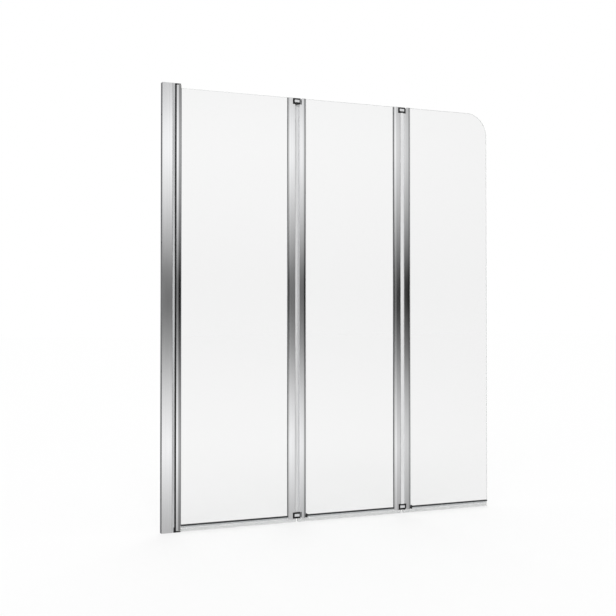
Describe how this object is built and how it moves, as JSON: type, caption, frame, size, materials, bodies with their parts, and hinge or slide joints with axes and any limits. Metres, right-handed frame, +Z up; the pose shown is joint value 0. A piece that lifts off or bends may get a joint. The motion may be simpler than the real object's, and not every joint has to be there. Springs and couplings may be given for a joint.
{
  "type": "folding bath screen",
  "caption": "Wall-hung folding bath screen: framed glass panels on double-pin folds, a swing tube on an adjustable wall channel, and fins sealing to the bath rim.",
  "frame": {"origin": "on the wall face of the wall channel, in the plane of the glass, at the level of the bath rim that the fins touch", "axes": "+X from the wall along the flat screen to its free edge, +Y square to the glass towards the bath, +Z up"},
  "size_m": [1.2, 0.0192, 1.4],
  "materials": {
    "anodised_aluminium": "bright dipped and anodised, almost a mirror",
    "matt_aluminium": "matt, light grey",
    "stainless_steel": "turned",
    "clear_glass": "polished float glass",
    "black_acetal": "moulded",
    "natural_acetal": "moulded",
    "grey_plastic": "moulded",
    "black_rubber": "extruded",
    "grey_gasket": "extruded, soft",
    "dark_seal": "extruded, stiff",
    "clear_seal": "extruded, soft and translucent"
  },
  "bodies": {
    "wall_frame": {"wall_channel": "anodised_aluminium", "channel_cap": "anodised_aluminium", "adjusting_profile": "matt_aluminium", "adjusting_screws": "stainless_steel", "screw_covers": "anodised_aluminium", "wall_seal_strip": "black_rubber", "pivot_bearing_bottom": "black_acetal", "pivot_bearing_top": "black_acetal", "pivot_pins": "stainless_steel", "pivot_washers": "natural_acetal"},
    "panel_1": {"pivot_tube": "anodised_aluminium", "pivot_bushes": "natural_acetal", "gasket_1_wall": "grey_gasket", "glass_1": "clear_glass", "gasket_1_fold": "grey_gasket", "clamp_1_fold": "anodised_aluminium", "bushes_1": "natural_acetal", "seal_rail_1": "dark_seal", "seal_lip_1": "clear_seal"},
    "link_1": {"link_1_block_bottom": "black_acetal", "link_1_block_top": "black_acetal", "link_1_insets": "grey_plastic", "link_1_pins": "stainless_steel", "link_1_strip": "matt_aluminium"},
    "panel_2": {"clamp_2_near": "anodised_aluminium", "clamp_2_far": "anodised_aluminium", "gasket_2_near": "grey_gasket", "gasket_2_far": "grey_gasket", "glass_2": "clear_glass", "bushes_2": "natural_acetal", "seal_rail_2": "dark_seal", "seal_lip_2": "clear_seal", "seal_stop_2": "black_rubber"},
    "link_2": {"link_2_block_bottom": "black_acetal", "link_2_block_top": "black_acetal", "link_2_insets": "grey_plastic", "link_2_pins": "stainless_steel", "link_2_strip": "matt_aluminium"},
    "panel_3": {"clamp_3_near": "anodised_aluminium", "gasket_3_near": "grey_gasket", "glass_3": "clear_glass", "bushes_3": "natural_acetal", "seal_rail_3": "dark_seal", "seal_lip_3": "clear_seal", "seal_stop_3": "black_rubber"}
  },
  "joints": [
    {"name": "wall_swing", "type": "hinge", "parent": "wall_frame", "child": "panel_1", "pos_m": [0.0575, 0, 0], "axis": [0, 0, 1], "range_deg": [0, 90]},
    {"name": "fold_1", "type": "hinge", "parent": "panel_1", "child": "link_1", "pos_m": [0.45, 0, 0], "axis": [0, 0, -1], "range_deg": [0, 90]},
    {"name": "fold_1_outer", "type": "hinge", "parent": "link_1", "child": "panel_2", "pos_m": [0.471, 0, 0], "axis": [0, 0, -1], "range_deg": [0, 90]},
    {"name": "fold_2", "type": "hinge", "parent": "panel_2", "child": "link_2", "pos_m": [0.8445, 0, 0], "axis": [0, 0, 1], "range_deg": [0, 90]},
    {"name": "fold_2_outer", "type": "hinge", "parent": "link_2", "child": "panel_3", "pos_m": [0.8655, 0, 0], "axis": [0, 0, 1], "range_deg": [0, 90]}
  ]
}
